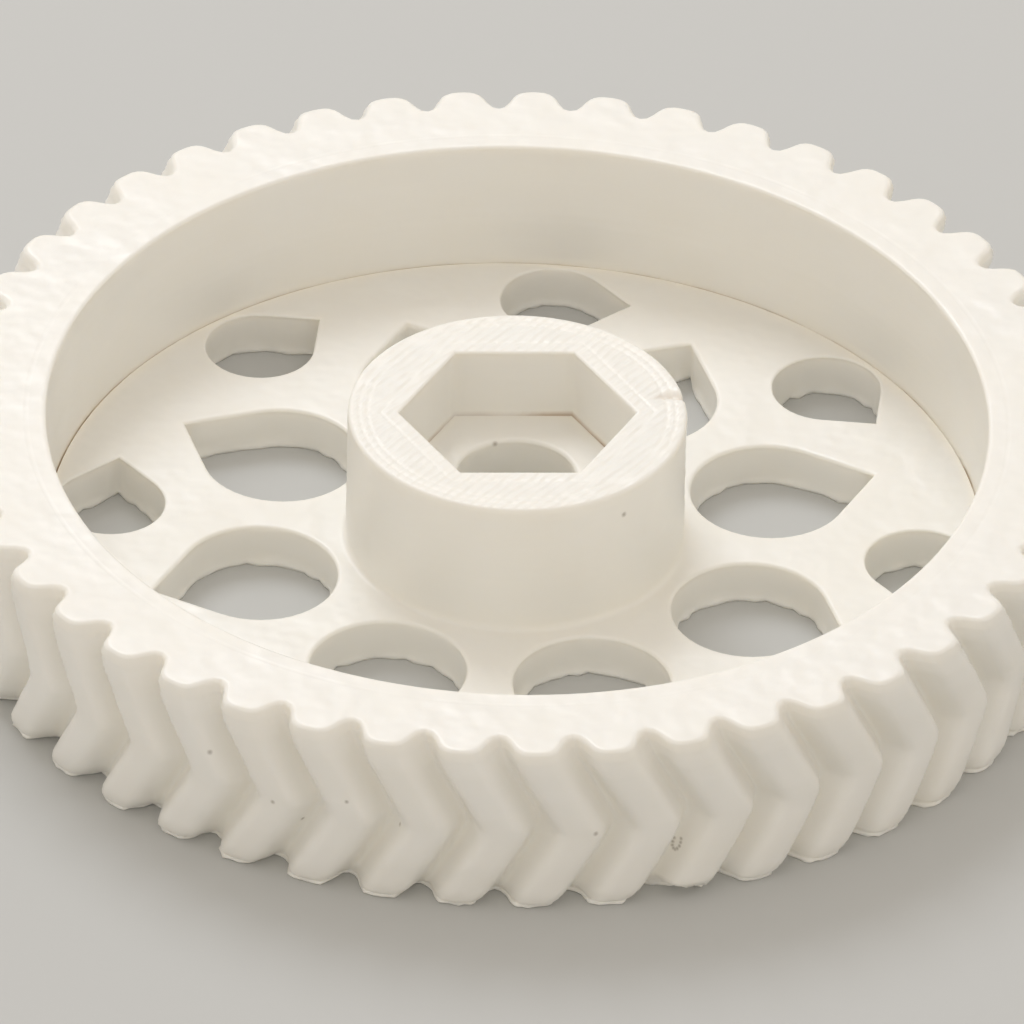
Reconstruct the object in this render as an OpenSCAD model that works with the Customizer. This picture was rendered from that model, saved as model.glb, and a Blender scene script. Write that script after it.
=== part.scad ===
// Herringbone gear with a hex socket for a bolt head, printed in one piece.
// The origin is on the gear's axis, on the flat underside, and +Z runs up the axis.

/* [Teeth] */
// Number of teeth round the rim
tooth_count = 47; // [36:1:50]
// Diameter over the tooth tips
tip_d = 73.8; // [70:0.1:80]
// Radial depth of the gaps between the teeth
tooth_depth = 2; // [1.2:0.1:2.3]
// Width of a tooth across its tip
tooth_tip_w = 2.6; // [1.6:0.1:2.8]
// Lean of each flank away from the tooth's centre line, in degrees
flank_lean = 22; // [12:1:25]
// Rounding of the tooth's corners, at the tip and at the foot
tooth_round = 0.5; // [0.1:0.05:0.6]
// How far the teeth are drawn in at the two end faces
end_inset = 0.4; // [0.1:0.05:0.6]
// Height over which they are drawn in
end_rise = 0.8; // [0.2:0.1:1.5]
// Angle by which the teeth run ahead at the chevron's point, in degrees
chevron_turn = 4.5; // [0:0.1:8]
// How far the chevron's point lies below half height
chevron_drop = 0.25; // [0:0.05:1]
// Angle of the first tooth from +X at the top face, in degrees
tooth_turn = 4.7; // [0:0.1:10]

/* [Rim and web] */
// Height of the toothed rim
rim_h = 12; // [8:0.1:20]
// Diameter of the open dish inside the rim
dish_d = 60; // [57:0.1:64]
// Thickness of the web that closes the dish at the bottom
web_t = 2.9; // [1.6:0.1:6]

/* [Hub] */
// Diameter of the hub
hub_d = 21.6; // [18:0.1:26]
// Height of the hub above the underside
hub_h = 12.3; // [9:0.1:20]
// Width across flats of the bolt head that sits in the hub
bolt_head_af = 13; // [10:0.1:16]
// Play between the bolt head and the socket's flats
head_play = 0.1; // [0:0.05:0.5]
// Depth of the hex socket below the hub's top
socket_depth = 4.9; // [2:0.1:7]
// Angle of one corner of the socket from +X, in degrees
socket_turn = 2.4; // [0:0.1:60]
// Diameter of the bore for the bolt's shank
bore_d = 7.6; // [5:0.1:10]

/* [Lightening holes] */
// Number of large holes, and of small holes between them
hole_count = 8; // [4:1:9]
// Diameter of the round part of each large hole
large_hole_d = 10; // [6:0.1:11]
// Web left between the hub and each large hole
hub_gap = 1.2; // [0.6:0.1:2.5]
// Diameter of the round part of each small hole
small_hole_d = 7; // [4:0.1:8]
// Web left between each small hole and the rim
rim_gap = 0.5; // [0.3:0.1:2]
// Angle of the first large hole from +X, in degrees
hole_turn = 17.6; // [0:0.1:45]

/* [Hidden] */

// Circles are drawn with this many sides
$fn = 96;
// How far a cut runs past the face that it opens
cut_over = 1;
// Steps in each rounded corner of a tooth, at the tip and at the foot
tip_steps = 2;
foot_steps = 1;
// A rounding may take up to this share of half the edge that it ends on
round_share = 0.9;

pitch_angle = 360 / tooth_count;
tip_r = tip_d / 2;
chevron_h = rim_h / 2 - chevron_drop;
// Slices through the teeth, each a height and the amount that the teeth are drawn in there
slices = [
    [0, end_inset],
    [end_rise, 0],
    [chevron_h, 0],
    [rim_h - end_rise, 0],
    [rim_h, end_inset]
];

socket_af = bolt_head_af + head_play;
socket_d = socket_af / cos(30);
socket_floor = hub_h - socket_depth;

hole_pitch = 360 / hole_count;
large_ring_r = (hub_d + large_hole_d) / 2 + hub_gap;
small_ring_r = (dish_d - small_hole_d) / 2 - rim_gap;

// Point p turned about the axis
function turned(p, angle) = [
    p[0] * cos(angle) - p[1] * sin(angle),
    p[0] * sin(angle) + p[1] * cos(angle)
];

// Point at a distance from p on the way to q
function towards(p, q, distance) = p + (q - p) * distance / norm(q - p);

// Points that round corner b between its neighbours a and c
function rounded(a, b, c, reach, steps) = [
    for (i = [0:steps])
        let (t = i / steps)
        towards(b, a, reach) * (1 - t) * (1 - t) + b * 2 * t * (1 - t) + towards(b, c, reach) * t * t
];

// One tooth with its centre line along +X and all its sides drawn in by inset, counter-clockwise
function tooth(inset) =
    let (
        tip = tip_r - inset,
        foot = tip - tooth_depth,
        half_tip = tooth_tip_w / 2 - inset * tan(45 - flank_lean / 2),
        half_foot = half_tip + tooth_depth * tan(flank_lean),
        half_floor = foot * tan(pitch_angle / 2) - half_foot,
        tip_round = min(tooth_round, round_share * half_tip),
        foot_round = min(tooth_round, round_share * half_floor),
        tip_left = [tip, half_tip],
        tip_right = [tip, -half_tip],
        foot_left = [foot, half_foot],
        foot_right = [foot, -half_foot]
    )
    concat(
        rounded(turned(foot_left, -pitch_angle), foot_right, tip_right, foot_round, foot_steps),
        rounded(foot_right, tip_right, tip_left, tip_round, tip_steps),
        rounded(tip_right, tip_left, foot_left, tip_round, tip_steps),
        rounded(tip_left, foot_left, turned(foot_right, pitch_angle), foot_round, foot_steps)
    );

// How far the teeth have turned at height z: nothing at the top face, most at the chevron's point
function turn_at(z) = chevron_turn * (1 - abs(z - chevron_h) / (rim_h - chevron_h));

// The whole toothed outline at one slice
function outline_at(slice) =
    let (z = slice[0], points = tooth(slice[1]))
    [
        for (i = [0:tooth_count - 1], p = points)
            let (q = turned(p, tooth_turn + i * pitch_angle + turn_at(z)))
            [q[0], q[1], z]
    ];

// Solid disc with herringbone teeth, each end closed by a fan round the axis
module toothed_disc() {
    bands = len(slices) - 1;
    n = len(tooth(0)) * tooth_count;
    bottom = len(slices) * n;
    top = bottom + 1;
    points = concat(
        [for (slice = slices, p = outline_at(slice)) p],
        [[0, 0, 0], [0, 0, rim_h]]
    );
    walls = [
        for (k = [0:bands - 1], i = [0:n - 1])
            let (a = k * n + i, d = k * n + (i + 1) % n)
            each [[a, a + n, d + n], [a, d + n, d]]
    ];
    ends = [
        for (i = [0:n - 1])
            let (j = (i + 1) % n)
            each [[bottom, i, j], [top, bands * n + j, bands * n + i]]
    ];
    polyhedron(points = points, faces = concat(walls, ends));
}

// Round hole with a square point towards +X
module teardrop(d, h) {
    r = d / 2;
    shoulder = r * cos(45);
    cylinder(r = r, h = h);
    linear_extrude(h)
        polygon([[0, 0], [shoulder, -shoulder], [2 * shoulder, 0], [shoulder, shoulder]]);
}

module lightening_holes() {
    hole_h = web_t + 2 * cut_over;
    for (i = [0:hole_count - 1]) {
        rotate(hole_turn + i * hole_pitch)
            translate([large_ring_r, 0, -cut_over])
                teardrop(large_hole_d, hole_h);
        rotate(hole_turn + (i + 0.5) * hole_pitch)
            translate([small_ring_r, 0, -cut_over])
                rotate(-90)
                    teardrop(small_hole_d, hole_h);
    }
}

module bolt_seat() {
    translate([0, 0, socket_floor])
        rotate(socket_turn)
            cylinder(d = socket_d, h = socket_depth + cut_over, $fn = 6);
    translate([0, 0, -cut_over])
        cylinder(d = bore_d, h = socket_floor + 2 * cut_over);
}

module gear() {
    color("#f3efe6")
        difference() {
            union() {
                difference() {
                    toothed_disc();
                    translate([0, 0, web_t])
                        cylinder(d = dish_d, h = rim_h - web_t + cut_over);
                }
                cylinder(d = hub_d, h = hub_h);
            }
            lightening_holes();
            bolt_seat();
        }
}

gear();
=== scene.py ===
import math
import random

import bmesh
import bpy
from mathutils import Matrix, Vector, noise


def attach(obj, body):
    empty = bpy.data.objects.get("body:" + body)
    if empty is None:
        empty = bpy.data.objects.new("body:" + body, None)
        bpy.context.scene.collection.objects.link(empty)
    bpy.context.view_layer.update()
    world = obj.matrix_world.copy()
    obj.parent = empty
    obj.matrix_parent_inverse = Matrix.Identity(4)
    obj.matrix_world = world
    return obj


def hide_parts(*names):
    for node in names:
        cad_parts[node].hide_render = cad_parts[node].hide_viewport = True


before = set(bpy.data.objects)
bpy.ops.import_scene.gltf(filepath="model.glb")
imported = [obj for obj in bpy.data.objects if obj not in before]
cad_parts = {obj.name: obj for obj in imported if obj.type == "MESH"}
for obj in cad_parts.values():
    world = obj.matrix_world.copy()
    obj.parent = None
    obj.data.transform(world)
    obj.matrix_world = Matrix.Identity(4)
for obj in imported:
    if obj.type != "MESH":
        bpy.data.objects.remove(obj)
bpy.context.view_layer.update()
print("stage: frame loaded, nodes", sorted(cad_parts))

mm = 0.001  # sizes below are in millimetres, the scene is in metres

# The printed gear, at about the sizes of the solid that it stands for
gearSizes = {
    "toothCount": 47,
    "tipRadius": 36.8,
    "toothDepth": 1.95,
    "toothTipWidth": 2.6,
    "flankLean": 22,       # degrees from the tooth's centre line
    "tipRound": 0.8,
    "tipShare": 0.85,      # a tip's rounding takes at most this share of half its width
    "tipSteps": 4,         # pieces in each rounded corner at the tip
    "footRound": 0.7,
    "floorShare": 0.45,    # a foot's rounding takes this share of the floor between two teeth
    "footSteps": 2,
    "topInset": 0.55,      # the teeth are drawn in this far at the top
    "topRise": 1.7,        # over this height
    "toeInset": 0.6,
    "toeRise": 1.6,
    "chevronTurn": 4.5,    # degrees that the teeth run ahead at the chevron's point
    "chevronHeight": 5.75,
    "chevronSoft": 0.5,    # millimetres of height over which that point is rounded
    "topLag": 0.65,        # degrees by which the last layers hang back from the chevron
    "topLagRise": 1.7,
    "toothTurn": 4.7,
    "rimHeight": 12.0,
    "dishRadius": 30.0,
    "webTop": 2.9,
    "hubRadius": 10.8,
    "hubHeight": 12.3,
    "socketFlats": 13.1,
    "socketDepth": 4.9,
    "socketTurn": 2.4,
    "boreRadius": 3.8,
    "holeCount": 8,
    "holeTurn": 17.6,
    "largeHoleRadius": 5.0,
    "largeHoleRing": 17.0,
    "smallHoleRadius": 3.5,
    "smallHoleRing": 26.0,
}

# What the printer leaves on it, in millimetres
printTraits = {
    "layer": 0.4,          # height of one layer
    "ridge": 0.025,        # depth of the valley between two layers
    "wander": 0.05,        # slow drift of the walls
    "ripple": 0.03,        # short unevenness of the walls
    "lip": 0.16,           # first layer, squashed out against the bed
    "fray": 0.32,          # uneven edge of that lip
    "toeFray": 0.24,       # uneven edge of the teeth's first layer
    "bedLayers": 0.7,      # height at which the layers in a hole give way to the squashed one
    "toeLayers": 0.4,      # height at which the layers of the teeth start
    "webGap": 0.2,         # the layers of the rim's inner wall end this far above the web
    "hubGap": 0.4,         # those of the hub start this far above it
    "socketGap": 0.12,     # those of the socket end this far above its floor
    "edge": 0.26,          # soft rounding of the top edges of rim, hub and large holes
    "socketEdge": 0.2,
    "boreEdge": 0.3,
    "smallHoleEdge": 0.16,
    "groove": 0.05,        # dip between neighbouring tracks on a top face
    "rimGroove": 0.3,      # share of it on the rim's top
    "rimTrack": 1.3,       # how far from the wall a groove lies, on the rim's top
    "hubTracks": (0.7, 1.25),
    "socketTrack": 1.05,
    "crease": 0.25,        # depth of the open line where the web meets the rim
    "lastLayers": 2.4,     # height at the top of the teeth over which the layers step more
    "lastStep": 2.5,       # how much more, at the very top
    "jog": 0.5,            # share of the valley's depth by which the crests vary
    "jogCount": 64,        # layers before that repeats
    "seed": 12,
}

# Unevenness of a wall: changes in a millimetre along it and up it, and where the noise starts
wallNoise = {"slow": (0.2, 0.5, 0.0), "ripple": (0.8, 1.1, 40.0), "fray": (1.5, 0.0, 5.0)}

# Points round each wall of the mesh, and along one side of the socket
wallPoints = {"dish": 160, "hub": 208, "bore": 64, "socketSide": 12, "largeHole": 48, "smallHole": 40}


def turned(point, angle):
    return Matrix.Rotation(angle, 2) @ point


def circle(radius, count):
    return [turned(Vector((radius, 0)), 2 * math.pi * i / count) for i in range(count)]


def hexagon(flats, turn, parts):
    # each side cut in equal parts
    corners = [turned(c, math.radians(turn)) for c in circle(flats / 2 / math.cos(math.radians(30)), 6)]
    return [a.lerp(b, i / parts) for a, b in zip(corners, corners[1:] + corners[:1]) for i in range(parts)]


def teardrop(radius, centre, pointing, count):
    # round hole whose front quarter is drawn out to a square point
    front = 0.7 * radius  # points further along than this are in that quarter
    drop = []
    for p in circle(radius, count):
        a = math.atan2(p.y, p.x)
        stretch = max(1.0, math.sqrt(2) / (math.cos(a) + abs(math.sin(a))))
        drop.append(p * stretch if p.x > front else p)
    return [centre + turned(p, pointing) for p in drop]


def roundCorner(before, corner, after, reachBefore, reachAfter, steps):
    a = corner + (before - corner).normalized() * reachBefore
    c = corner + (after - corner).normalized() * reachAfter
    shares = [i / steps for i in range(steps + 1)]
    return [a * (1 - t) ** 2 + corner * 2 * t * (1 - t) + c * t * t for t in shares]


def toothOutline(s, out):
    # all the teeth, with every side moved out by the same amount
    pitch = 2 * math.pi / s["toothCount"]
    lean = math.radians(s["flankLean"])
    tip = s["tipRadius"] + out
    root = tip - s["toothDepth"]
    halfTip = s["toothTipWidth"] / 2 + out / math.cos(lean) - out * math.tan(lean)
    halfFoot = halfTip + s["toothDepth"] * math.tan(lean)
    tipLeft, tipRight = Vector((tip, halfTip)), Vector((tip, -halfTip))
    footLeft, footRight = Vector((root, halfFoot)), Vector((root, -halfFoot))
    tipReach = min(s["tipRound"], s["tipShare"] * halfTip)
    footReach = s["footRound"]
    floorReach = s["floorShare"] * (2 * root * math.tan(pitch / 2) - 2 * halfFoot)
    lastLeft, nextRight = turned(footLeft, -pitch), turned(footRight, pitch)
    tooth = roundCorner(lastLeft, footRight, tipRight, floorReach, footReach, s["footSteps"])
    tooth += roundCorner(footRight, tipRight, tipLeft, tipReach, tipReach, s["tipSteps"])
    tooth += roundCorner(tipRight, tipLeft, footLeft, tipReach, tipReach, s["tipSteps"])
    tooth += roundCorner(tipLeft, footLeft, nextRight, footReach, floorReach, s["footSteps"])
    first = math.radians(s["toothTurn"])
    return [turned(p, first + i * pitch) for i in range(s["toothCount"]) for p in tooth]


def uneven(p, z, kind):
    along, up, start = wallNoise[kind]
    return noise.noise(Vector((p.x * along, p.y * along, z * up + start)))


def placeRing(loop, shape, z, out, turn, rough):
    # rough is how far the wall wanders slowly, ripples and frays
    points = shape(out)
    if rough:
        probe = 0.1  # a ring this much further out shows which way the wall faces
        ways = [(b - a) * (1 / probe) for a, b in zip(points, shape(out + probe))]
        slow, ripple, fray = rough
        moved = []
        for p, w in zip(points, ways):
            shift = slow * uneven(p, z, "slow")
            shift += ripple * uneven(p, z, "ripple")
            shift += fray * uneven(p, z, "fray")
            moved.append(p + w * shift)
        points = moved
    for v, p in zip(loop, points):
        q = turned(p, turn)
        v.co = (q.x, q.y, z)


def loopEdges(bm, loop):
    return [bm.edges.get((a, b)) for a, b in zip(loop, loop[1:] + loop[:1])]


def printWall(bm, shape, rings):
    # draws the shape at the first ring, then extrudes it ring by ring; a ring is (z, out, turn, rough)
    loop = bmesh.ops.create_circle(bm, segments=len(shape(0.0)), radius=1.0)["verts"]
    placeRing(loop, shape, *rings[0])
    firstLoop = loop
    for ring in rings[1:]:
        made = bmesh.ops.extrude_edge_only(bm, edges=loopEdges(bm, loop))["geom"]
        fresh = {v for v in made if isinstance(v, bmesh.types.BMVert)}
        loop = [next(e.other_vert(v) for e in v.link_edges if e.other_vert(v) in fresh) for v in loop]
        placeRing(loop, shape, *ring)
    return firstLoop, loop


def fillFlat(bm, loops):
    edges = [e for loop in loops for e in loopEdges(bm, loop)]
    bmesh.ops.triangle_fill(bm, use_beauty=True, use_dissolve=False, edges=edges, normal=(0, 0, 1))


def layerRings(z0, z1, traits, side, turnAt=None, drawnIn=None):
    # a valley and a crest for each layer between two heights; side is 1 where the wall faces out
    dice = random.Random(traits["seed"])
    shifts = [dice.uniform(-1, 1) for _ in range(traits["jogCount"])]
    rough = (traits["wander"], traits["ripple"], 0.0)
    rings = []
    count = max(1, round(abs(z1 - z0) / traits["layer"]))
    for i in range(count):
        low = z0 + (z1 - z0) * i / count
        mid = z0 + (z1 - z0) * (i + 0.5) / count
        jog = traits["jog"] * traits["ridge"] * shifts[int(mid / traits["layer"]) % len(shifts)]
        for z, out in ((low, -traits["ridge"]), (mid, jog)):
            reach = side * out
            if drawnIn:
                nearTop = max(0.0, 1 - (z1 - z) / traits["lastLayers"])
                reach = out * (1 + traits["lastStep"] * nearTop) - drawnIn(z)
            rings.append((z, reach, turnAt(z) if turnAt else 0.0, rough))
    return rings


def topEdge(z, side, reach):
    # soft edge from a wall up to a flat top, ending in a narrow flat strip;
    # a step is how far down and how far back, as shares of reach
    steps = [(0.9, 0.03), (0.55, 0.12), (0.25, 0.32), (0.06, 0.63), (0.0, 1.0), (0.0, 1.4)]
    return [(z - d * reach, -side * b * reach, 0.0, None) for d, b in steps]


def bedEdge(traits):
    # squashed first layer round a hole, from just above it down to the bed;
    # a step is its height, the share of the lip that narrows the hole and its share of the fray
    steps = [(0.5, 0.0, 0.0), (0.32, 0.5, 0.6), (0.16, 1.0, 1.0), (0.0, 0.7, 1.0), (0.0, -0.8, 0.0)]
    lip, fray = traits["lip"], traits["fray"]
    return [(z, -out * lip, 0.0, (0.0, 0.0, rag * fray)) for z, out, rag in steps]


def track(z, out, depth):
    # a shallow groove between two tracks on a flat top, crossed inwards;
    # a step is how far across and how deep
    steps = [(-0.24, 0.0), (-0.12, 0.0), (0.0, depth), (0.12, 0.0), (0.24, 0.0)]
    return [(z - dip, out - across, 0.0, None) for across, dip in steps]


# Marks on this one gear, in millimetres and degrees
gearMarks = {
    "chipAngle": -72.6,    # toe of one tooth, broken off at the bed
    "chipHalf": 2.6,
    "chipHeight": 0.85,
    "chipRag": 0.35,       # how far that height varies
    "chipDepth": 1.2,
    "chipFloor": 34.9,
    "seamFrom": (10.9, 11.8),   # radius and angle of the notch where the hub's outer track ends
    "seamTo": (9.3, 13.4),
    "seamHalf": 0.4,
    "seamDepth": 0.36,
    "seamBelow": 0.6,      # it touches only this much of the hub, from the top down
    # strength of the painted shade in the notch
    "seamPaintedShade": 0.35,
}

# Painted shade in the open lines at the foot of a wall, with lengths in millimetres
creasePaintedShade = {
    "depth": (0.02, 0.3),  # how far below the flat it lies, from and to
    "width": 1.5,
    "strength": 0.55,
    "change": 0.9,         # how much the strength varies along the line
    "changeRate": 0.35,    # changes in a millimetre
}


def chipToe(bm, marks):
    # pushes the toe in, up to a ragged edge
    for v in bm.verts:
        radius = math.hypot(v.co.x, v.co.y)
        away = (math.degrees(math.atan2(v.co.y, v.co.x)) - marks["chipAngle"]) / marks["chipHalf"]
        height = marks["chipHeight"] + marks["chipRag"] * noise.noise(Vector((away * 2, 3.0, 7.0)))
        if v.co.z < height and radius > marks["chipFloor"] and abs(away) < 1:
            kept = max(marks["chipFloor"], radius - marks["chipDepth"] * (1 - away ** 4)) / radius
            v.co.x *= kept
            v.co.y *= kept


def cutSeam(bm, marks, hubTop):
    paintedShade = bm.verts.layers.float["paintedShade"]
    ends = (marks["seamFrom"], marks["seamTo"])
    start, end = (turned(Vector((r, 0)), math.radians(a)) for r, a in ends)
    for v in bm.verts:
        if v.co.z > hubTop - marks["seamBelow"]:
            along = (v.co.xy - start).dot(end - start) / (end - start).length_squared
            aside = (v.co.xy - start.lerp(end, min(1.0, max(0.0, along)))).length / marks["seamHalf"]
            if aside < 1:
                fade = min(1.0, 1.4 - along)  # it runs out towards its inner end
                v.co.z -= marks["seamDepth"] * (1 - aside * aside) * fade
                # painted shade in the notch, darkest along its middle
                v[paintedShade] = marks["seamPaintedShade"] * (1 - aside)


def paintCreaseShade(bm, look, creases):
    # paints shade into the open line at the foot of a wall; a crease is (height of the flat, least radius)
    paintedShade = bm.verts.layers.float["paintedShade"]
    least, most = look["depth"]
    for v in bm.verts:
        for z, radius in creases:
            inRing = radius < math.hypot(v.co.x, v.co.y) < radius + look["width"]
            if inRing and z - most < v.co.z < z - least:
                patch = look["change"] * noise.noise(v.co * look["changeRate"])
                v[paintedShade] = max(0.0, look["strength"] + patch)


def makeGear(s, traits, marks, points):
    bm = bmesh.new()
    rimTop, webTop, hubTop = s["rimHeight"], s["webTop"], s["hubHeight"]
    socketFloor = hubTop - s["socketDepth"]
    edge, soft = traits["edge"], s["chevronSoft"]

    def turnAt(z):
        rise = math.hypot(z - s["chevronHeight"], soft) - soft
        share = rise / (math.hypot(rimTop - s["chevronHeight"], soft) - soft)
        lag = max(0.0, 1 - (rimTop - z) / s["topLagRise"])
        return math.radians(s["chevronTurn"] * (1 - share) + s["topLag"] * (lag * lag - share))

    def drawnIn(z):
        top = max(0.0, 1 - (rimTop - z) / s["topRise"])
        toe = max(0.0, 1 - z / s["toeRise"])
        atTop = s["topInset"] * (1 - math.sqrt(1 - top * top))
        return atTop + s["toeInset"] * (1 - math.sqrt(1 - toe * toe))

    # rim's inner wall, from the rim's top down to the open crease at the web;
    # a step of the crease is its share of the depth and how far out it is
    groove = traits["groove"]
    rings = track(rimTop, traits["rimTrack"], traits["rimGroove"] * groove)
    rings += topEdge(rimTop, -1, edge)[::-1]
    rings += layerRings(rimTop - edge, webTop + traits["webGap"], traits, -1)
    crease = [(0.0, 0.0), (-0.8, -0.02), (-1.0, -0.05), (-0.4, -0.09), (0.0, -0.13), (0.0, -0.2)]
    rings += [(webTop + d * traits["crease"], out, 0.0, None) for d, out in crease]
    dishTop, dishFoot = printWall(bm, lambda out: circle(s["dishRadius"] + out, points["dish"]), rings)

    # hub's wall, from the web up; a step of its foot is how far up and how far out it is
    foot = [(0.0, 0.5), (0.0, 0.3), (0.04, 0.14), (0.14, 0.05)]
    rings = [(webTop + up, out, 0.0, None) for up, out in foot]
    rings += layerRings(webTop + traits["hubGap"], hubTop - edge, traits, 1) + topEdge(hubTop, 1, edge)
    for inset in traits["hubTracks"]:
        rings += track(hubTop, -inset, groove)
    hubFoot, hubRim = printWall(bm, lambda out: circle(s["hubRadius"] + out, points["hub"]), rings)

    # hex socket, from the hub's top down; a step of its floor's edge is how far up and how far out it is
    socketEdge = traits["socketEdge"]
    rings = track(hubTop, traits["socketTrack"], groove) + topEdge(hubTop, -1, socketEdge)[::-1]
    rings += layerRings(hubTop - socketEdge, socketFloor + traits["socketGap"], traits, -1)
    floorEdge = [(-0.06, -0.03), (0.0, -0.12), (0.0, -0.3)]
    rings += [(socketFloor + up, out, 0.0, None) for up, out in floorEdge]
    socketTop, socketFoot = printWall(
        bm, lambda out: hexagon(s["socketFlats"] + 2 * out, s["socketTurn"], points["socketSide"]), rings)

    # bore, from the socket's floor down to the bed
    boreEdge, bedLayers = traits["boreEdge"], traits["bedLayers"]
    rings = topEdge(socketFloor, -1, boreEdge)[::-1]
    rings += layerRings(socketFloor - boreEdge, bedLayers, traits, -1) + bedEdge(traits)
    boreTop, boreBottom = printWall(bm, lambda out: circle(s["boreRadius"] + out, points["bore"]), rings)

    # lightening holes, from the web's top down to the bed
    holeTops, holeBottoms = [], []
    pitch = 2 * math.pi / s["holeCount"]
    for i in range(s["holeCount"]):
        at = math.radians(s["holeTurn"]) + i * pitch
        for radius, ring, angle, swing, count, reach in (
                (s["largeHoleRadius"], s["largeHoleRing"], at, 0.0, points["largeHole"], edge),
                (s["smallHoleRadius"], s["smallHoleRing"], at + pitch / 2, -math.pi / 2,
                 points["smallHole"], traits["smallHoleEdge"])):
            centre = turned(Vector((ring, 0)), angle)
            rings = topEdge(webTop, -1, reach)[::-1]
            rings += layerRings(webTop - reach, bedLayers, traits, -1) + bedEdge(traits)
            top, bottom = printWall(
                bm, lambda out: teardrop(radius + out, centre, angle + swing, count), rings)
            holeTops.append(top)
            holeBottoms.append(bottom)

    # toothed wall, from the bed up: squashed first layer, then the layers, then the edge of the last one;
    # a step of the first is its height, how far out it is and its share of the fray,
    # and a step of the last edge is how far down and how far in it is
    toe = [(0.0, -1.0, 0.0), (0.0, -0.42, 1.0), (0.1, -0.3, 1.0), (0.22, -0.32, 0.8), (0.3, -0.38, 0.3)]
    wander, fray = traits["wander"], traits["toeFray"]
    rings = [(z, out, turnAt(z), (wander, 0.0, fray * rag)) for z, out, rag in toe]
    rings += layerRings(traits["toeLayers"], rimTop, traits, 1, turnAt, drawnIn)
    lastEdge = [(0.1, 0.38), (0.03, 0.46), (0.0, 0.55), (0.0, 0.7)]
    rings += [(rimTop - down, -inward, turnAt(rimTop - down), None) for down, inward in lastEdge]
    toothBottom, toothTop = printWall(bm, lambda out: toothOutline(s, out), rings)

    fillFlat(bm, [toothTop, dishTop])
    fillFlat(bm, [dishFoot, hubFoot] + holeTops)
    fillFlat(bm, [hubRim, socketTop])
    fillFlat(bm, [socketFoot, boreTop])
    fillFlat(bm, [toothBottom, boreBottom] + holeBottoms)
    # holds the painted shade of the creases and of the seam's notch
    bm.verts.layers.float.new("paintedShade")
    chipToe(bm, marks)
    cutSeam(bm, marks, hubTop)
    inside = 0.3  # the creases start this far inside their walls
    creases = [(webTop, s["dishRadius"] - inside), (socketFloor, s["socketFlats"] / 2 - inside)]
    paintCreaseShade(bm, creasePaintedShade, creases)
    bmesh.ops.recalc_face_normals(bm, faces=bm.faces)
    bmesh.ops.scale(bm, vec=(mm, mm, mm), verts=bm.verts)
    openEdges = sum(1 for e in bm.edges if len(e.link_faces) != 2)
    triangles = sum(len(f.verts) - 2 for f in bm.faces)
    mesh = bpy.data.meshes.new("printed_gear")
    bm.to_mesh(mesh)
    bm.free()
    mesh.shade_smooth()
    gear = bpy.data.objects.new("printed_gear", mesh)
    bpy.context.collection.objects.link(gear)
    print("stage: gear modelled,", triangles, "triangles,", openEdges, "open edges")
    return gear


def linear(hexColour):
    parts = [int(hexColour[i:i + 2], 16) / 255 for i in (1, 3, 5)]
    return [p / 12.92 if p <= 0.04045 else ((p + 0.055) / 1.055) ** 2.4 for p in parts] + [1.0]


def addNode(tree, kind, settings=None, inputs=None):
    node = tree.nodes.new(kind)
    for name, value in (settings or {}).items():
        setattr(node, name, value)
    for name, value in (inputs or {}).items():
        if isinstance(value, bpy.types.NodeSocket):
            tree.links.new(value, node.inputs[name])
        else:
            node.inputs[name].default_value = value
    return node


plasticLook = {
    "colour": "#f8f7f2",
    "warmPatch": "#f6f3ea",
    # colour of the painted shade in the creases and the seam's notch
    "paintedShadeColour": "#b89f80",
    "speckColour": "#6f5f4a",
    "patch": 7.0,           # millimetres across a patch of warmer white
    "track": 0.6,           # width of the tracks that fill the hub's top
    "lump": 1.8,            # millimetres across the lumps on a top face
    "lumpHeight": 0.16,
    "flatFrom": (0.93, 0.995),    # upright part of the normal where the lumps set in and are full
    "trackTurn": 38,        # degrees that the tracks are turned about the axis, clockwise from above
    "trackWander": 2.5,     # how unsteadily they run
    "trackShare": 0.2,      # share of the tracks in the relief on the hub
    "trackStart": (12.1, 12.2),   # heights between which the tracks set in, above the rim's top
    "roughness": (0.30, 0.46),
    "glossSpan": (0.3, 0.7),      # values of the patches that give the least and the most roughness
    "ior": 1.53,
    "dirtStrength": 0.62,
    "softLight": 0.5,       # share of light that wanders under the surface
    "softReach": 0.9,       # how far it wanders, in millimetres
    "softTint": (1.0, 0.82, 0.55),   # shares of that for red, green and blue
    # specks of dirt: radius, degrees round the axis, height and reach
    "specks": [
        (35.8, -100.8, 5.4, 0.2), (36.8, -81.3, 5.9, 0.23), (36.8, -105.9, 7.2, 0.18),
        (35.2, -111.4, 3.9, 0.2), (36.6, -120.8, 7.9, 0.22), (36.8, -113.6, 5.8, 0.2),
        (10.8, -50.2, 10.4, 0.24), (3.8, 111.3, 7.2, 0.24),
    ],
    # a curled fibre stuck to one flank: its middle, and from there to its side and to its lowest point
    "curlMiddle": (10.64, -33.53, 3.36),
    "curlSide": (0.27, -0.11, 0.15),
    "curlLow": (-0.06, -0.2, -0.43),
    "curlStart": -20,       # degrees from its side at which the fibre starts
    "curlStep": 30,         # degrees between the spots that draw it
    "curlSpots": 9,
    "fibreReach": 0.17,
}


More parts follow.
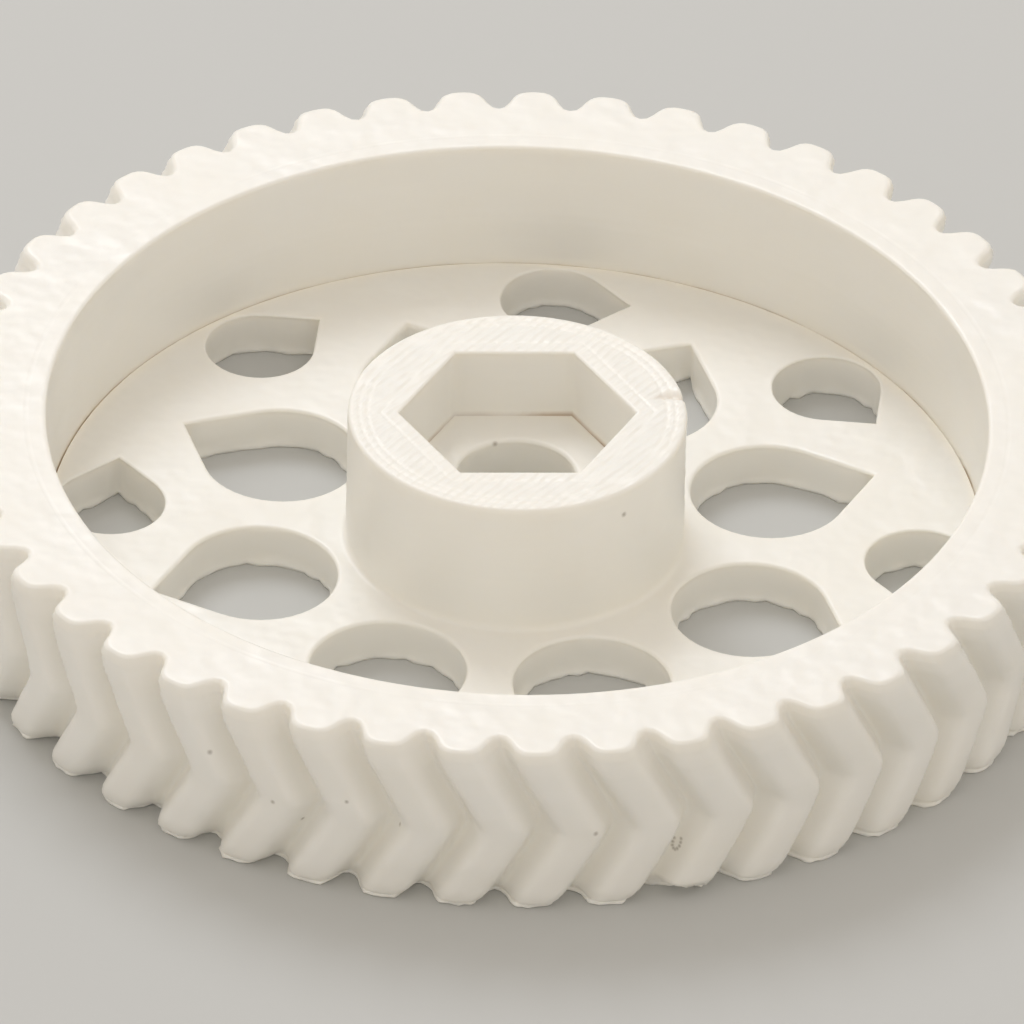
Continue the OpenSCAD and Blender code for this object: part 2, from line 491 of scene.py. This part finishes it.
def printedPlastic(look):
    # white ABS laid down in layers: soft and milky, satin with glossier patches,
    # and lumpy on its tops, where it ran out of the hot nozzle last
    material = bpy.data.materials.new("abs-printed-warm-white")
    material.use_nodes = True
    tree = material.node_tree
    shader = tree.nodes["Principled BSDF"]
    place = addNode(tree, "ShaderNodeTexCoord").outputs["Object"]

    patches = addNode(tree, "ShaderNodeTexNoise", None,
                      {"Vector": place, "Scale": 1 / (look["patch"] * mm), "Detail": 1.0}).outputs["Fac"]
    colour = addNode(tree, "ShaderNodeMix", {"data_type": "RGBA"},
                     {"Factor": patches, "A": linear(look["colour"]), "B": linear(look["warmPatch"])})
    # painted shade in the open creases and in the seam's notch
    paintedShade = addNode(tree, "ShaderNodeAttribute", {"attribute_name": "paintedShade"})
    colour = addNode(tree, "ShaderNodeMix", {"data_type": "RGBA"},
                     {"Factor": paintedShade.outputs["Fac"], "A": colour.outputs["Result"],
                      "B": linear(look["paintedShadeColour"])})
    middle, side, lowest = (Vector(look[name]) for name in ("curlMiddle", "curlSide", "curlLow"))
    turns = [math.radians(look["curlStart"] + look["curlStep"] * i) for i in range(look["curlSpots"])]
    spots = [(middle + side * math.cos(a) + lowest * math.sin(a), look["fibreReach"]) for a in turns]
    for radius, angle, height, reach in look["specks"]:
        around = turned(Vector((radius, 0)), math.radians(angle))
        spots.append((Vector((around.x, around.y, height)), reach))
    dirt = 0.0
    for spot, reach in spots:
        away = addNode(tree, "ShaderNodeVectorMath", {"operation": "DISTANCE"}, {0: place, 1: spot * mm})
        near = addNode(tree, "ShaderNodeMapRange", None,
                       {"Value": away.outputs["Value"], "From Min": 0.0, "From Max": reach * mm,
                        "To Min": look["dirtStrength"], "To Max": 0.0})
        dirt = addNode(tree, "ShaderNodeMath", {"operation": "MAXIMUM"},
                       {0: dirt, 1: near.outputs["Result"]}).outputs["Value"]
    colour = addNode(tree, "ShaderNodeMix", {"data_type": "RGBA"},
                     {"Factor": dirt, "A": colour.outputs["Result"], "B": linear(look["speckColour"])})
    tree.links.new(colour.outputs["Result"], shader.inputs["Base Color"])

    # lumps where the surface looks up or down, and slanting tracks on the hub
    facing = addNode(tree, "ShaderNodeSeparateXYZ", None,
                     {"Vector": addNode(tree, "ShaderNodeNewGeometry").outputs["Normal"]})
    flatness = addNode(tree, "ShaderNodeMath", {"operation": "ABSOLUTE"}, {0: facing.outputs["Z"]})
    sloping, flat = look["flatFrom"]
    onTop = addNode(tree, "ShaderNodeMapRange", None,
                    {"Value": flatness.outputs["Value"], "From Min": sloping, "From Max": flat})
    lumps = addNode(tree, "ShaderNodeTexNoise", None,
                    {"Vector": place, "Scale": 1 / (look["lump"] * mm), "Detail": 1.0})
    slanted = addNode(tree, "ShaderNodeMapping", None,
                      {"Vector": place, "Rotation": (0.0, 0.0, math.radians(look["trackTurn"]))})
    waveRate = 20  # the wave texture turns by this many radians in a unit
    tracks = addNode(tree, "ShaderNodeTexWave", None,
                     {"Vector": slanted.outputs["Vector"],
                      "Scale": 2 * math.pi / (waveRate * look["track"] * mm),
                      "Distortion": look["trackWander"], "Detail": 1.0})
    level = addNode(tree, "ShaderNodeSeparateXYZ", None, {"Vector": place})
    trackFrom, trackFull = look["trackStart"]
    onHub = addNode(tree, "ShaderNodeMapRange", None,
                    {"Value": level.outputs["Z"], "From Min": trackFrom * mm, "From Max": trackFull * mm,
                     "To Min": 0.0, "To Max": look["trackShare"]})
    relief = addNode(tree, "ShaderNodeMix", None,
                     {"Factor": onHub.outputs["Result"], "A": lumps.outputs["Fac"],
                      "B": tracks.outputs["Fac"]})
    bump = addNode(tree, "ShaderNodeBump", None,
                   {"Height": relief.outputs["Result"], "Strength": onTop.outputs["Result"],
                    "Distance": look["lumpHeight"] * mm})
    tree.links.new(bump.outputs["Normal"], shader.inputs["Normal"])

    glossy, dull = look["roughness"]
    glossyPatch, dullPatch = look["glossSpan"]
    gloss = addNode(tree, "ShaderNodeMapRange", None,
                    {"Value": patches, "From Min": glossyPatch, "From Max": dullPatch,
                     "To Min": glossy, "To Max": dull})
    tree.links.new(gloss.outputs["Result"], shader.inputs["Roughness"])
    shader.inputs["IOR"].default_value = look["ior"]
    shader.subsurface_method = "BURLEY"
    shader.inputs["Subsurface Weight"].default_value = look["softLight"]
    shader.inputs["Subsurface Radius"].default_value = look["softTint"]
    shader.inputs["Subsurface Scale"].default_value = look["softReach"] * mm
    return material


gear = makeGear(gearSizes, printTraits, gearMarks, wallPoints)
gear.data.materials.append(printedPlastic(plasticLook))
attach(gear, "root")
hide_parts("gear")

studio = {
    "floorColour": "#c9cac8",
    "floorRoughness": 0.9,
    "floorRadius": 3.0,     # metres, as all sizes of the studio are
    "floorSides": 96,
    "softboxSize": 0.4,
    "softboxPlace": (-0.16, 0.46, 0.6),
    "softboxPower": 2.1,
    "fill": 0.75,
    "fillColour": "#fff7ee",
    "softboxColour": "#f4f8ff",
}


def makeFloor(look):
    bm = bmesh.new()
    bmesh.ops.create_circle(bm, cap_ends=True, segments=look["floorSides"], radius=look["floorRadius"])
    mesh = bpy.data.meshes.new("floor")
    bm.to_mesh(mesh)
    bm.free()
    floor = bpy.data.objects.new("floor", mesh)
    bpy.context.collection.objects.link(floor)
    material = bpy.data.materials.new("paint-matt-pale-grey")
    material.use_nodes = True
    shader = material.node_tree.nodes["Principled BSDF"]
    shader.inputs["Base Color"].default_value = linear(look["floorColour"])
    shader.inputs["Roughness"].default_value = look["floorRoughness"]
    mesh.materials.append(material)


def makeLight(look):
    lamp = bpy.data.lights.new("softbox", "AREA")
    lamp.shape = "DISK"
    lamp.size = look["softboxSize"]
    lamp.energy = look["softboxPower"]
    lamp.color = linear(look["softboxColour"])[:3]
    box = bpy.data.objects.new("softbox", lamp)
    bpy.context.collection.objects.link(box)
    place = Vector(look["softboxPlace"])
    box.location = place
    box.rotation_euler = (-place).to_track_quat("-Z", "Y").to_euler()
    world = bpy.data.worlds.new("studio")
    bpy.context.scene.world = world
    world.use_nodes = True
    tree = world.node_tree
    room = tree.nodes["Background"]
    room.inputs["Color"].default_value = linear(look["fillColour"])
    room.inputs["Strength"].default_value = look["fill"]
    seen = addNode(tree, "ShaderNodeBackground", None,
                   {"Color": linear(look["floorColour"]), "Strength": 1.0})
    path = addNode(tree, "ShaderNodeLightPath")
    shiny = addNode(tree, "ShaderNodeMath", {"operation": "MAXIMUM"},
                    {0: path.outputs["Is Glossy Ray"], 1: path.outputs["Is Transmission Ray"]})
    direct = addNode(tree, "ShaderNodeMath", {"operation": "MAXIMUM"},
                     {0: path.outputs["Is Camera Ray"], 1: shiny.outputs["Value"]})
    pick = addNode(tree, "ShaderNodeMixShader", None,
                   {0: direct.outputs["Value"], 1: room.outputs["Background"],
                    2: seen.outputs["Background"]})
    tree.links.new(pick.outputs["Shader"], tree.nodes["World Output"].inputs["Surface"])


# The camera stands where the photograph was taken from; the picture is 1024 pixels wide
cameraView = {
    "focalPixels": 22380.7,
    "pictureWidth": 1024,
    "distance": 1436.87,
    "elevation": 35.644,
    "roll": 1.415,
    "aim": (-0.194, 6.173, 0.0),
}


def makeCamera(view):
    e, r = math.radians(view["elevation"]), math.radians(view["roll"])
    back = Vector((0, -math.cos(e), math.sin(e)))
    right = Vector((1, 0, 0))
    up = back.cross(right)
    across = right * math.cos(r) + up * math.sin(r)
    upright = up * math.cos(r) - right * math.sin(r)
    data = bpy.data.cameras.new("camera")
    data.sensor_width = 36.0
    data.lens = view["focalPixels"] / view["pictureWidth"] * data.sensor_width
    camera = bpy.data.objects.new("camera", data)
    bpy.context.collection.objects.link(camera)
    axes = Matrix((across, upright, back)).transposed().to_4x4()
    axes.translation = (Vector(view["aim"]) + back * view["distance"]) * mm
    camera.matrix_world = axes
    bpy.context.scene.camera = camera


makeFloor(studio)
makeLight(studio)
makeCamera(cameraView)
bpy.context.scene.view_settings.view_transform = "Standard"
print("stage: studio and camera set")
